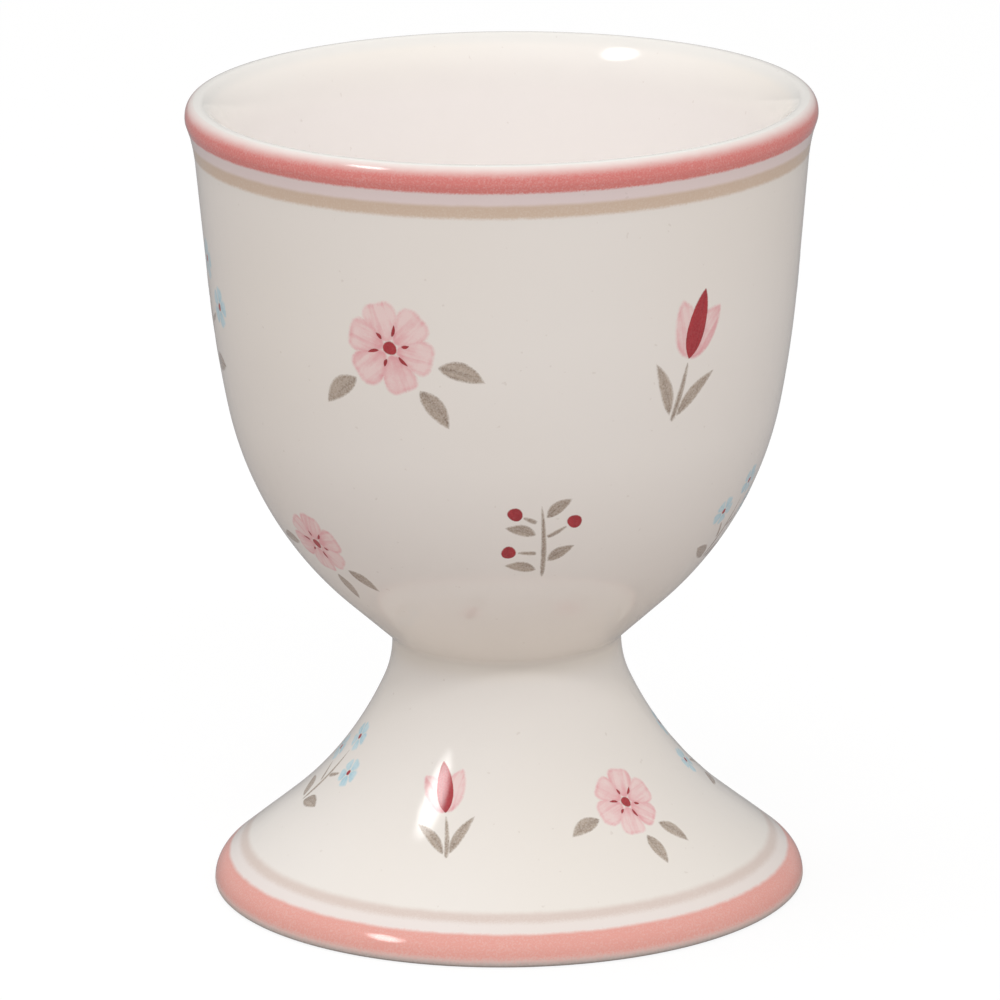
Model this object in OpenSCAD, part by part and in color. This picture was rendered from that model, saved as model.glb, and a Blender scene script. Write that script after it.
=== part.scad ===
// Footed egg cup in glazed earthenware: a thrown bowl luted to a hollow trumpet foot,
// with painted bands at the lip and foot and a scattered print of small flowers.
// Origin: on the table, under the centre of the foot. +Z is up, the front faces -Y.

/* [Overall] */
// Height from the table to the top of the lip
cup_h = 65; // [62:0.5:68]
// Outer diameter across the lip
rim_d = 50.6; // [48.5:0.1:54]
// Outer diameter of the foot where it is widest
foot_d = 48.1; // [45:0.1:52]

/* [Bowl] */
// Thickness of the rounded lip
lip_t = 2.1; // [1.6:0.1:2.4]
// Radius of the outward curve that carries the lip
lip_flare_r = 12; // [8:1:20]
// How far the lip leans outwards from upright, in degrees
lip_lean = 20; // [14:1:24]
// How far the upper wall leans outwards from upright, in degrees
wall_lean = 5; // [4:0.5:6]
// Radius of the long curve below the upper wall, in diameters of the lip
side_r_share = 1.838; // [1.6:0.01:2.2]
// Lean of the wall where the long curve meets the belly, in degrees
side_lean = 11; // [9:0.5:13]
// Radius of the round belly, in diameters of the lip
belly_r_share = 0.577; // [0.54:0.001:0.61]
// Lean of the straight underside, in degrees
under_lean = 47.7; // [46:0.1:50]
// How far the wall inside the bowl leans, in degrees
cavity_lean = 6.5; // [5.5:0.5:8]
// Thickness of the clay at the middle of the bowl's floor
floor_t = 3.4; // [2.4:0.1:5]

/* [Foot] */
// Outer diameter at the narrowest place of the neck
neck_d = 18.6; // [16:0.1:20]
// Height of the narrowest place of the neck, where the foot ends, as a share of the whole height
neck_z_share = 0.3138; // [0.3:0.001:0.33]
// Radius of the tight curve just below the neck
waist_r = 8.5; // [6:0.5:11]
// Lean of the foot where the tight curve ends, in degrees
waist_lean = 24.5; // [20:0.5:28]
// Length of the straight cone between the hollow curve and the shoulder
cone_l = 5.8; // [3:0.2:8]
// Radius of the rounded shoulder over the foot's edge
shoulder_r = 2.4; // [1.6:0.1:3]
// Radius of the small round under the foot's edge
edge_r = 0.4; // [0.3:0.1:0.8]
// Thickness of the foot's wall
foot_wall = 2.8; // [2.2:0.1:3.4]

/* [Luted joint] */
// Radius of the slip fillet between the neck and the bowl
slip_r = 0.9; // [0.7:0.1:1.6]

/* [Bands] */
// Thickness of the fired enamel of the bands and the print
film_t = 0.05; // [0.03:0.01:0.08]
// Drop from the top of the lip to the upper edge of the broad rim band
rim_band_drop = 0.45; // [0.3:0.05:0.8]
// Height of the broad rim band
rim_band_h = 1.4; // [1:0.1:2]
// Gap between the broad rim band and the fine line under it
rim_gap = 1; // [0.6:0.1:1.6]
// Height of the fine line under the rim band
rim_line_h = 1; // [0.6:0.1:1.4]
// Height above the table where the broad foot band starts
foot_band_z = 0.8; // [0.6:0.1:1.2]
// Height of the broad foot band
foot_band_h = 1.6; // [1.2:0.1:2]
// Height of the gap between the foot band and the fine line over it
foot_gap = 0.7; // [0.5:0.1:1]
// Height of the fine line over the foot band
foot_line_h = 0.55; // [0.4:0.05:0.8]

/* [Flowers] */
// Height of the upper row of flowers on the bowl, as a share of the whole height
upper_row_z_share = 0.754; // [0.71:0.002:0.78]
// Height of the lower row of flowers on the bowl, as a share of the whole height
lower_row_z_share = 0.5; // [0.46:0.002:0.54]
// Height of the row of flowers on the foot, as a share of the whole height
foot_row_z_share = 0.148; // [0.135:0.001:0.165]
// Number of flowers in each row
row_count = 6; // [4:1:7]
// Turn of the upper row about the axis, in degrees
upper_row_turn = -22; // [-30:1:30]
// Turn of the lower row about the axis, in degrees
lower_row_turn = 8; // [-30:1:30]
// Turn of the row on the foot about the axis, in degrees
foot_row_turn = -20; // [-30:1:30]
// Diameter of one round petal of the large pink bloom
petal_d = 2.9; // [2:0.1:3.4]
// Number of petals of the large pink bloom
petal_count = 6; // [5:1:8]
// Diameter of one petal of the small blue bloom
small_petal_d = 1.3; // [0.9:0.1:1.6]
// Diameter of a berry
berry_d = 1.5; // [1:0.1:2]
// Length of a leaf
leaf_l = 3.9; // [3:0.1:5]
// Width of a leaf
leaf_w = 1.5; // [1:0.1:2]
// Width of a stalk at its middle
stalk_w = 0.42; // [0.3:0.02:0.6]
// Height of the closed tulip
tulip_h = 5.8; // [4:0.1:6.4]
// Width of one petal of the tulip
tulip_petal_w = 2.5; // [1.5:0.1:2.8]

/* [Hidden] */
$fn = 96;
// Number of straight steps in one curve of an outline
arc_steps = 14;
// Number of straight steps along each side of a leaf
leaf_steps = 6;
// Number of sides of a round dot or petal
dot_sides = 20;
// Gap left between two inks that lie side by side
ink_gap = 0.12;
// How far a printed shape is cast to each side of the surface that it lands on
print_reach = 3;
clay = "#f2e9df";
slip = "#efe5d9";
pink = "#e39c92";
petal_pink = "#ecbdbd";
red = "#ab2f3a";
blue = "#b4d5df";
taupe = "#a39583";

// Rise or fall of every other flower of the bowl's rows, and its sway in degrees
row_stagger = 1;
sway = 14;

// Places within a flower, in shares of its petal's diameter, its own height or its leaf's
// length, and in degrees from upright
bloom_ring_share = 0.84;
bloom_centre_share = 0.56;
bloom_leaf_turns = [118, 200, 236];
small_petal_count = 5;
small_ring_share = 0.8;
small_centre_share = 0.56;
spray_foot_share = [0, -1.1];
spray_tip_shares = [[-0.1, 1.3], [-0.95, 0.4], [0.85, 0.65]];
spray_fork_shares = [0, 0.25, 0.4];
spray_leaf_turns = [72, -66];
tulip_spread = 24;
tulip_outer_share = 0.88;
tulip_inner_share = 0.72;
tulip_stalk_share = 0.9;
tulip_leaf_turn = 34;
tulip_leaf_share = 1.3;
twig_shares = [[-0.2, -1.1], [0.25, 1.2]];
twig_leaf_share = 0.85;
// Each berry: how far up the twig its stalk starts, and where it hangs
twig_berries = [[0.35, [-0.85, -0.05]], [0.55, [0.95, 0.45]], [0.75, [-0.45, 1.1]]];
// Each leaf: how far up the twig it starts, and its turn
twig_leaves = [[0.1, 66], [0.2, -70], [0.6, 62], [0.8, -66]];

// Flowers of each row, in turn, and the size of the smaller rows against the upper one
upper_kinds = ["bloom", "tulip", "spray"];
lower_kinds = ["twig", "spray", "bloom"];
foot_kinds = ["tulip", "bloom", "spray"];
lower_size_share = 0.8;
foot_size_share = 0.78;

// Direction at an angle from outwards, and direction down a wall of given lean
function along(angle) = [cos(angle), sin(angle)];
function down(lean) = [-sin(lean), -cos(lean)];

// Points of a curve after its start, and a list without its last point
function bend(centre, r, from, to) =
    [for (i = [1:arc_steps]) centre + r * along(from + (to - from) * i / arc_steps)];
function but_last(points) = [for (i = [0:len(points) - 2]) points[i]];

// Sizes that follow the cup's height and the width of its lip
neck_z = neck_z_share * cup_h;
side_r = side_r_share * rim_d;
belly_r = belly_r_share * rim_d;
upper_row_z = upper_row_z_share * cup_h;
lower_row_z = lower_row_z_share * cup_h;
foot_row_z = foot_row_z_share * cup_h;

// Centres of the bowl's curves. Two straight stretches, of the wall and of the
// underside, take up what the curves leave between the lip and the seat.
lip_c = [(rim_d - lip_t) / 2, cup_h - lip_t / 2];
lip_flare_c = lip_c + (lip_t / 2 + lip_flare_r) * along(-lip_lean);
wall_top = lip_flare_c - lip_flare_r * along(-wall_lean);
slip_c = [neck_d / 2 + slip_r, neck_z];
seat = slip_c - slip_r * along(-under_lean);
side_run = side_r * (along(-side_lean) - along(-wall_lean));
belly_run = belly_r * (along(-under_lean) - along(-side_lean));
straight_run = seat - wall_top - side_run - belly_run;
wall_l = cross(straight_run, down(under_lean)) / cross(down(wall_lean), down(under_lean));
side_top = wall_top + wall_l * down(wall_lean);
side_c = side_top - side_r * along(-wall_lean);
belly_c = side_c + (side_r - belly_r) * along(-side_lean);
belly_top_z = belly_c[1] - belly_r * sin(side_lean);

// Inside of the bowl: a straight wall that runs into a round floor
cavity_wall = lip_flare_c + (lip_flare_r + lip_t) * along(180 - cavity_lean);
floor_z = seat[1] + floor_t;
floor_c = [0, (cavity_wall * along(-cavity_lean) + floor_z) / (1 - sin(cavity_lean))];
floor_r = floor_c[1] - floor_z;

// Centres of the foot's curves. The long hollow curve has the radius that lets a
// straight cone of the given length touch both it and the shoulder.
waist_c = [neck_d / 2 + waist_r, neck_z];
shoulder_c = [foot_d / 2 - shoulder_r, edge_r];
edge_c = [foot_d / 2 - edge_r, edge_r];
foot_run = shoulder_c - waist_c + waist_r * along(waist_lean);
foot_flare_r = (foot_run * foot_run - shoulder_r ^ 2 - cone_l ^ 2)
    / (2 * (foot_run * along(waist_lean) + shoulder_r));
foot_flare_c = waist_c + (foot_flare_r - waist_r) * along(waist_lean);
flare_to_shoulder = shoulder_c - foot_flare_c;
cone_lean = atan2(flare_to_shoulder[1], flare_to_shoulder[0])
    - atan2(-cone_l, -foot_flare_r - shoulder_r);

// Inside of the foot, as far as the table
bore_r = neck_d / 2 - foot_wall;
cone_inside = foot_flare_c + (foot_flare_r + foot_wall) * along(180 + cone_lean);
ring_inner_r = cone_inside[0] + cone_inside[1] * tan(cone_lean);

// Lower edges of the bands and lines
rim_band_z = cup_h - rim_band_drop - rim_band_h;
rim_line_z = rim_band_z - rim_gap - rim_line_h;
foot_line_z = foot_band_z + foot_band_h + foot_gap;

// Outline of the outside of the bowl, from the top of the lip down to the seat,
// moved outwards by grow
function bowl_outside(grow = 0) = concat(
    [lip_c + (lip_t / 2 + grow) * along(90)],
    bend(lip_c, lip_t / 2 + grow, 90, -lip_lean),
    bend(lip_flare_c, lip_flare_r - grow, 180 - lip_lean, 180 - wall_lean),
    [side_c + (side_r + grow) * along(-wall_lean)],
    bend(side_c, side_r + grow, -wall_lean, -side_lean),
    bend(belly_c, belly_r + grow, -side_lean, -under_lean),
    [seat + grow * along(-under_lean)]);

// Outline of the inside of the bowl, from the middle of the floor up to the lip, without
// the top of the lip, where the outside starts
function bowl_inside() = concat(
    [[0, floor_z]],
    bend(floor_c, floor_r, -90, -cavity_lean),
    [cavity_wall],
    bend(lip_flare_c, lip_flare_r + lip_t, 180 - cavity_lean, 180 - lip_lean),
    but_last(bend(lip_c, lip_t / 2, 180 - lip_lean, 90)));

// Outline of the outside of the foot, from the neck down, moved outwards by grow
function foot_outside(grow = 0) = concat(
    [[neck_d / 2 + grow, neck_z]],
    bend(waist_c, waist_r - grow, 180, 180 + waist_lean),
    bend(foot_flare_c, foot_flare_r - grow, 180 + waist_lean, 180 + cone_lean),
    [shoulder_c + (shoulder_r + grow) * along(cone_lean)],
    bend(shoulder_c, shoulder_r + grow, cone_lean, 0),
    bend(edge_c, edge_r + grow, 0, -90));

// Outline of the inside of the foot, from the table up to the neck
function foot_inside() = concat(
    [[ring_inner_r, 0], cone_inside],
    bend(foot_flare_c, foot_flare_r + foot_wall, 180 + cone_lean, 180 + waist_lean),
    bend(waist_c, waist_r + foot_wall, 180 + waist_lean, 180));

// Radius of the surface at a height, and how far the surface faces down there
function bowl_r(z) = z > side_top[1] ? side_top[0] + (z - side_top[1]) * tan(wall_lean)
    : z > belly_top_z ? side_c[0] + sqrt(side_r ^ 2 - (z - side_c[1]) ^ 2)
    : belly_c[0] + sqrt(belly_r ^ 2 - (z - belly_c[1]) ^ 2);
function bowl_faces_down(z) = z > side_top[1] ? wall_lean
    : z > belly_top_z ? asin((side_c[1] - z) / side_r)
    : asin((belly_c[1] - z) / belly_r);
function foot_r(z) = foot_flare_c[0] - sqrt(foot_flare_r ^ 2 - (foot_flare_c[1] - z) ^ 2);
function foot_faces_down(z) = -asin((foot_flare_c[1] - z) / foot_flare_r);

module bowl() {
    color(clay)
    rotate_extrude()
    polygon(concat(bowl_outside(), [[0, seat[1]]], bowl_inside()));
}

module foot() {
    color(clay)
    rotate_extrude()
    polygon(concat(foot_outside(), foot_inside()));
}

module slip_joint() {
    color(slip)
    rotate_extrude()
    polygon(concat(
        [[bore_r, neck_z], [neck_d / 2, neck_z]],
        bend(slip_c, slip_r, 180, 180 - under_lean),
        [[bore_r, seat[1]]]));
}

// Thin skin of enamel on the outside of the bowl or the foot, between two heights
module bowl_skin(low, high) {
    rotate_extrude()
    intersection() {
        difference() {
            polygon(concat(bowl_outside(film_t), [[0, seat[1]], [0, cup_h]]));
            polygon(concat(bowl_outside(), [[0, seat[1]], [0, cup_h]]));
        }
        translate([neck_d / 2, low])
        square([rim_d, high - low]);
    }
}

module foot_skin(low, high) {
    rotate_extrude()
    intersection() {
        difference() {
            polygon(concat(foot_outside(film_t), [[0, 0], [0, neck_z]]));
            polygon(concat(foot_outside(), [[0, 0], [0, neck_z]]));
        }
        translate([neck_d / 2, low])
        square([foot_d, high - low]);
    }
}

module rim_band() {
    color(pink)
    bowl_skin(rim_band_z, rim_band_z + rim_band_h);
}

module rim_line() {
    color(taupe)
    bowl_skin(rim_line_z, rim_line_z + rim_line_h);
}

module foot_band() {
    color(pink)
    foot_skin(foot_band_z, foot_band_z + foot_band_h);
}

module foot_line() {
    color(taupe)
    foot_skin(foot_line_z, foot_line_z + foot_line_h);
}

// Round dot, as a polygon of equal sides
module dot(d) {
    polygon([for (i = [0:dot_sides - 1]) d / 2 * along((i + 0.5) * 360 / dot_sides)]);
}

// Pointed leaf that stands on the origin, between two arcs that meet at both tips
module leaf(l, w) {
    r = (l ^ 2 + w ^ 2) / (4 * w);
    swing = asin(l / 2 / r);
    function side(way) = [for (i = [0:leaf_steps - 1])
        [way * (r * cos(swing * (2 * i / leaf_steps - 1)) - r + w / 2),
         way * r * sin(swing * (2 * i / leaf_steps - 1)) + l / 2]];
    polygon(concat(side(1), side(-1)));
}

// Leaf that starts at a point beside a stalk and points away by a turn from upright
module leaf_beside(point, turn, l, w) {
    translate(point)
    rotate(turn)
    translate([0, stalk_w + ink_gap])
    leaf(l, w);
}

// Slim stalk from one point towards another, ending short of it
module stalk(from, to, short) {
    run = to - from;
    translate(from)
    rotate(atan2(run[1], run[0]) - 90)
    leaf(norm(run) - short, stalk_w);
}

// Stalk that starts beside another one
module stalk_beside(from, to, short) {
    run = to - from;
    leaf_beside(from, atan2(run[1], run[0]) - 90, norm(run) - short - stalk_w - ink_gap, stalk_w);
}

// Round petals in a ring
module petals(count, d, ring_r) {
    for (i = [0:count - 1])
        rotate(i * 360 / count)
        translate([0, ring_r])
        dot(d);
}

// Open pink bloom with a red centre, over three leaves
module bloom(ink) {
    ring_r = petal_d * bloom_ring_share;
    centre_d = petal_d * bloom_centre_share;
    if (ink == "pink")
        difference() {
            petals(petal_count, petal_d, ring_r);
            dot(centre_d + 2 * ink_gap);
        }
    if (ink == "red")
        dot(centre_d);
    if (ink == "taupe")
        for (turn = bloom_leaf_turns)
            rotate(turn)
            translate([0, ring_r + petal_d / 2 + ink_gap])
            leaf(leaf_l, leaf_w);
}

// Three small blue blossoms with red dots, on stalks that part from one foot
module spray(ink) {
    ring_r = small_petal_d * small_ring_share;
    for (share = spray_tip_shares)
        translate(leaf_l * share) {
            if (ink == "blue")
                difference() {
                    petals(small_petal_count, small_petal_d, ring_r);
                    dot(small_petal_d * small_centre_share + 2 * ink_gap);
                }
            if (ink == "red")
                dot(small_petal_d * small_centre_share);
        }
    if (ink == "taupe") {
        base = leaf_l * spray_foot_share;
        top = leaf_l * spray_tip_shares[0];
        reach = ring_r + small_petal_d / 2 + ink_gap;
        stalk(base, top, reach);
        for (i = [1:len(spray_tip_shares) - 1])
            stalk_beside(base + spray_fork_shares[i] * (top - base),
                leaf_l * spray_tip_shares[i], reach);
        for (turn = spray_leaf_turns)
            leaf_beside(base, turn, leaf_l, leaf_w);
    }
}

// Closed tulip: a red petal between two pink ones, on a stalk with two long leaves
module tulip(ink) {
    if (ink == "pink")
        difference() {
            for (side = [-1, 1])
                rotate(side * tulip_spread)
                leaf(tulip_h * tulip_outer_share, tulip_petal_w);
            translate([0, -ink_gap])
            leaf(tulip_h + 2 * ink_gap, tulip_petal_w * tulip_inner_share + 2 * ink_gap);
        }
    if (ink == "red")
        leaf(tulip_h, tulip_petal_w * tulip_inner_share);
    if (ink == "taupe") {
        base = [0, -tulip_h * tulip_stalk_share];
        stalk(base, [0, 0], 2 * ink_gap);
        for (side = [-1, 1])
            leaf_beside(base, side * tulip_leaf_turn,
                leaf_l * tulip_leaf_share, leaf_w * tulip_inner_share);
    }
}

// Twig of leaves with red berries on short stalks
module twig(ink) {
    base = leaf_l * twig_shares[0];
    top = leaf_l * twig_shares[1];
    if (ink == "red")
        for (berry = twig_berries)
            translate(leaf_l * berry[1])
            dot(berry_d);
    if (ink == "taupe") {
        stalk(base, top, 0);
        for (berry = twig_berries)
            stalk_beside(base + berry[0] * (top - base), leaf_l * berry[1], berry_d / 2 + ink_gap);
        for (place = twig_leaves)
            leaf_beside(base + place[0] * (top - base), place[1],
                leaf_l * twig_leaf_share, leaf_w * twig_leaf_share);
    }
}

// One ink of one kind of flower, at a share of its full size
module motif(kind, ink, share) {
    scale(share) {
        if (kind == "bloom") bloom(ink);
        if (kind == "spray") spray(ink);
        if (kind == "tulip") tulip(ink);
        if (kind == "twig") twig(ink);
    }
}

// Casts a flat shape onto a surface of given radius at a height, turned about the axis
// from the front and square to a surface that faces down by an angle
module cast_onto(turn, r, z, faces_down) {
    rotate([0, 0, turn])
    translate([0, -r, z])
    rotate([90 + faces_down, 0, 0])
    linear_extrude(2 * print_reach, center = true)
    children();
}

// Every other flower of a row stands a little higher and sways the other way
function side_of(i) = i % 2 == 0 ? 1 : -1;

module bowl_row(kinds, ink, turn, row_z, share) {
    for (i = [0:row_count - 1]) {
        z = row_z + side_of(i) * row_stagger;
        cast_onto(turn + i * 360 / row_count, bowl_r(z), z, bowl_faces_down(z))
        rotate(side_of(i) * sway)
        motif(kinds[i % len(kinds)], ink, share);
    }
}

module foot_row(kinds, ink, turn, row_z, share) {
    for (i = [0:row_count - 1])
        cast_onto(turn + i * 360 / row_count, foot_r(row_z), row_z, foot_faces_down(row_z))
        rotate(side_of(i) * sway)
        motif(kinds[i % len(kinds)], ink, share);
}

// One ink of all the flowers on the bowl or the foot
module bowl_print(ink) {
    intersection() {
        bowl_skin(seat[1], rim_line_z - rim_gap);
        union() {
            bowl_row(upper_kinds, ink, upper_row_turn, upper_row_z, 1);
            bowl_row(lower_kinds, ink, lower_row_turn, lower_row_z, lower_size_share);
        }
    }
}

module foot_print(ink) {
    intersection() {
        foot_skin(foot_line_z + foot_line_h + foot_gap, neck_z);
        foot_row(foot_kinds, ink, foot_row_turn, foot_row_z, foot_size_share);
    }
}

module bowl_pink_petals() {
    color(petal_pink)
    bowl_print("pink");
}

module bowl_red_centres() {
    color(red)
    bowl_print("red");
}

module bowl_blue_petals() {
    color(blue)
    bowl_print("blue");
}

module bowl_taupe_leaves() {
    color(taupe)
    bowl_print("taupe");
}

module foot_pink_petals() {
    color(petal_pink)
    foot_print("pink");
}

module foot_red_centres() {
    color(red)
    foot_print("red");
}

module foot_blue_petals() {
    color(blue)
    foot_print("blue");
}

module foot_taupe_leaves() {
    color(taupe)
    foot_print("taupe");
}

bowl();
foot();
slip_joint();
rim_band();
rim_line();
foot_band();
foot_line();
bowl_pink_petals();
bowl_red_centres();
bowl_blue_petals();
bowl_taupe_leaves();
foot_pink_petals();
foot_red_centres();
foot_blue_petals();
foot_taupe_leaves();
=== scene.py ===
"""Looks of a footed egg cup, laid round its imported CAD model.

The bowl, foot and slip joint are fine turned surfaces with the CAD's own section. The bands,
lines and flowers are thin films of enamel that lie on them. All lengths are in metres.
"""

import math

import bpy
import numpy as np
from bpy.props import FloatProperty, FloatVectorProperty, IntProperty, PointerProperty
from mathutils import Matrix, Vector


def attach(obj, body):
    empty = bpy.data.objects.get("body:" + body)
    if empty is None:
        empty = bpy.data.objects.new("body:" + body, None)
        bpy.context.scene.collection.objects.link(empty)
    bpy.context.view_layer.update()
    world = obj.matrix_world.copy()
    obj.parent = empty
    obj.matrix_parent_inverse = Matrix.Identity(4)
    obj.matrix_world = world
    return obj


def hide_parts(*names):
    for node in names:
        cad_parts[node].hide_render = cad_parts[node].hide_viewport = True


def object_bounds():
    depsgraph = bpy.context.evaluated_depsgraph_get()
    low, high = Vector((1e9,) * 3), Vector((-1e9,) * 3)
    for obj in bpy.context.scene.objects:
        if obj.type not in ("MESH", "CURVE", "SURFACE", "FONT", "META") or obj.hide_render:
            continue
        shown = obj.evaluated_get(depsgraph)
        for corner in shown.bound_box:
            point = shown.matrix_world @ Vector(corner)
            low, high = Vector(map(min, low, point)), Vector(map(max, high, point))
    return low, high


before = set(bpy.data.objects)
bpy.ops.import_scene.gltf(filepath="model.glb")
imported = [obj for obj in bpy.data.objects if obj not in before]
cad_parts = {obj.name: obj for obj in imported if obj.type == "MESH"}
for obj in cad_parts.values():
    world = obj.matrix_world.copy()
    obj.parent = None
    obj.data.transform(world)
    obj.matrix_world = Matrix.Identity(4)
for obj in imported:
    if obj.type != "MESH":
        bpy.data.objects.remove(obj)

bl_info = {
    "name": "Footed egg cup",
    "version": (1, 0, 0),
    "blender": (4, 5, 0),
    "location": "View3D > Sidebar > Egg cup",
    "description": "Glazed and printed surfaces of a footed egg cup, with its studio stage",
    "category": "Object",
}

CAD_LOW, CAD_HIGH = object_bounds()
MM = 0.001
BODY = "root"

# Lengths of the mesh steps along a section, and counts round the axis
OUTSIDE_STEP = 0.45 * MM
INSIDE_STEP = 0.9 * MM
FILM_STEP = 0.1 * MM
AROUND = 384
SHARP_ANGLE = math.radians(35)

# How far a film stands over the glaze and dips under it at its edge, how deep its back lies, and
# how much higher each layer of ink lies
FILM_LIFT = 0.012 * MM
FILM_DIP = 0.004 * MM
FILM_BACK = 0.12 * MM
LAYER_LIFT = 0.0012 * MM

# Points of a section that are nearer than this are one point
SAME_POINT = 1e-6 * MM

# How far a band's film reaches past its fade, and how far it keeps from the table and the crest
FILM_MARGIN = 0.1 * MM
FOOT_CLEAR = 0.1 * MM
LIP_CLEAR = 0.05 * MM

# How softly each ink of the flowers fades out at its outline, and the gap between two inks
INK_SOFT = {"taupe": 0.36 * MM, "pink": 0.46 * MM, "blue": 0.46 * MM, "red": 0.16 * MM}
INK_GAP = 0.12 * MM

# For each ink the end of its nodes' names, the start of its slot and colours, how strongly its
# deep tone gathers at the rim, the veins and the heart, its grain, and how well it covers
INKS = {
    "taupe": ("taupe_leaves", "leaf", 0.1, 0.2, 0.2, 1.3, 0.86),
    "pink": ("pink_petals", "petal", 0.36, 0.0, 0.5, 0.35, 0.9),
    "blue": ("blue_petals", "blue", 0.2, 0.0, 0.5, 0.35, 0.92),
    "red": ("red_centres", "red", 0.2, 0.2, 0.2, 0.2, 0.97),
}

# Grid of one printed shape: how far out its rings stand, the points in a ring, and the points
# of the outline to which distances are measured. Each shape's tone steps on by a share.
RING_SHARES = np.array([0.0, 0.3, 0.5, 0.64, 0.75, 0.84, 0.91, 0.96, 1.0])
SECTORS = 36
EDGE_SECTORS = 288
TONE_STEP = 0.618

# Heights at which the glaze starts to pool at the neck and thins out again, where its warmer
# tone also paints shade under the bowl, depths under the lip's top where its cool tone starts
# and is full, heights over which the bare ring is glazed, whose bare tone also paints shade on
# the foot's lower edge, the depth where the painted light that whitens the inside starts and
# the length over which it grows, the length over which a stain fades out, and the size of the
# enamels' grain
POOL_SHADE_START, POOL_SHADE_END = (18.5 * MM, 20.5 * MM), (22 * MM, 30 * MM)
LIP_TONE, LIP_FULL = 1.0 * MM, 0.3 * MM
BARE_SHADE_LOW, BARE_SHADE_HIGH = 0.1 * MM, 1.0 * MM
INSIDE_LIGHT_DROP, INSIDE_LIGHT_FADE = 0.8 * MM, 4 * MM
STAIN_FADE = 0.3 * MM
GRAIN_SIZE = 0.15 * MM

# Camera, as fitted to the round outlines in the photograph
CAMERA_PLACE = (0, -0.6318, 0.2071)
CAMERA_PITCH, CAMERA_ROLL = math.radians(90 - 15.54), math.radians(-0.57)
CAMERA_SENSOR, CAMERA_LENS = 36.0, 292.97
CAMERA_SHIFT = (-0.0054, 0.0031)
CAMERA_CLIP = 0.01

# Directions from the cup to each light, the distances and sizes of the softboxes, the way the
# window's long side runs and its half sizes, and the floor's half size and depth under the cup
TOP_WAY, TOP_DISTANCE, TOP_SIZE = (-0.4, 0.0, 1), 0.7, (0.7, 0.7)
KEY_WAY, KEY_DISTANCE, KEY_SIZE = (0.07, -0.65, 0.69), 0.8, (0.7, 0.05)
WINDOW_WAY, WINDOW_UPRIGHT, WINDOW_SIZE = (-0.56, -0.27, 0.725), (0.26, 0.88, 0.39), (0.26, 0.125)
FLOOR_HALF, FLOOR_DROP = 2.0, 0.02 * MM


def hex_colour(code):
    """Linear colour of a six-figure screen colour."""
    parts = np.array([int(code[i:i + 2], 16) for i in (1, 3, 5)]) / 255
    linear = np.where(parts <= 0.04045, parts / 12.92, ((parts + 0.055) / 1.055) ** 2.4)
    return tuple(float(v) for v in linear)


def length(name, default, description):
    """A length property given in millimetres."""
    return FloatProperty(name=name, default=default * MM, unit="LENGTH", description=description)


def lean(name, default, description):
    """An angle property given in degrees."""
    return FloatProperty(
        name=name, default=math.radians(default), unit="ROTATION", description=description
    )


def share(name, default, description):
    """A plain number property, such as a share of another size."""
    return FloatProperty(name=name, default=default, description=description)


def colour(name, code, description):
    """A colour property given as a screen colour."""
    return FloatVectorProperty(
        name=name, subtype="COLOR", size=3, min=0, max=1,
        default=hex_colour(code), description=description,
    )


class EggCupSection(bpy.types.PropertyGroup):
    """Sizes of the turned section of the bowl, the neck and the foot."""

    cup_h: FloatProperty(
        name="Height", default=CAD_HIGH.z, unit="LENGTH", description="Height of the whole cup"
    )
    rim_d: length("Lip diameter", 50.6, "Outer diameter across the lip")
    foot_d: length("Foot diameter", 48.1, "Outer diameter of the foot")
    lip_t: length("Lip thickness", 2.1, "Thickness of the rounded lip")
    lip_rise: length("Lip rise", 0.28, "How far the glazed lip rises over a plain round one")
    lip_outer: length("Outer lip round", 1.1, "Width of the lip's round on the outside")
    lip_inner: length("Inner lip round", 0.8, "Width of the lip's round on the inside")
    lip_slope: lean("Inner lip slope", 50, "Steepness at which the lip runs into its soft slope")
    slope_r: length("Inner slope round", 5.5, "Radius of the soft slope inside the lip")
    lip_square: share("Lip squareness", 2.3, "2 for a round lip, and more for a squarer one")
    lip_flare_r: length("Lip flare", 12, "Radius of the outward curve that carries the lip")
    lip_lean: lean("Lip lean", 20, "How far the lip leans outwards")
    wall_lean: lean("Wall lean", 5, "How far the upper wall leans outwards")
    side_r_share: share("Side curve", 1.838, "Radius of the long curve, in lip diameters")
    side_lean: lean("Side lean", 11, "Lean where the long curve meets the belly")
    belly_r_share: share("Belly curve", 0.577, "Radius of the belly, in lip diameters")
    under_lean: lean("Underside lean", 47.7, "Lean of the straight underside")
    cavity_lean: lean("Cavity lean", 6.5, "How far the wall inside the bowl leans")
    cavity_flare_r: length("Cavity flare", 8, "Radius of the curve under the inner lip")
    floor_t: length("Floor thickness", 3.4, "Clay at the middle of the bowl's floor")
    neck_d: length("Neck diameter", 18.6, "Outer diameter of the neck")
    neck_z_share: share("Neck height", 0.3138, "Height of the neck, as a share of the height")
    waist_r: length("Waist curve", 8.5, "Radius of the tight curve below the neck")
    waist_lean: lean("Waist lean", 24.5, "Lean where the tight curve ends")
    cone_l: length("Cone length", 5.8, "Length of the straight cone above the shoulder")
    shoulder_r: length("Shoulder", 2.4, "Radius of the shoulder over the foot's edge")
    edge_r: length("Foot edge", 0.25, "Height of the small round under the foot's edge")
    edge_w: length("Foot edge width", 0.4, "Width of the small round under the foot's edge")
    foot_wall: length("Foot wall", 2.8, "Thickness of the foot's wall")
    slip_r: length("Slip fillet", 0.9, "Radius of the fillet between neck and bowl")


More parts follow.
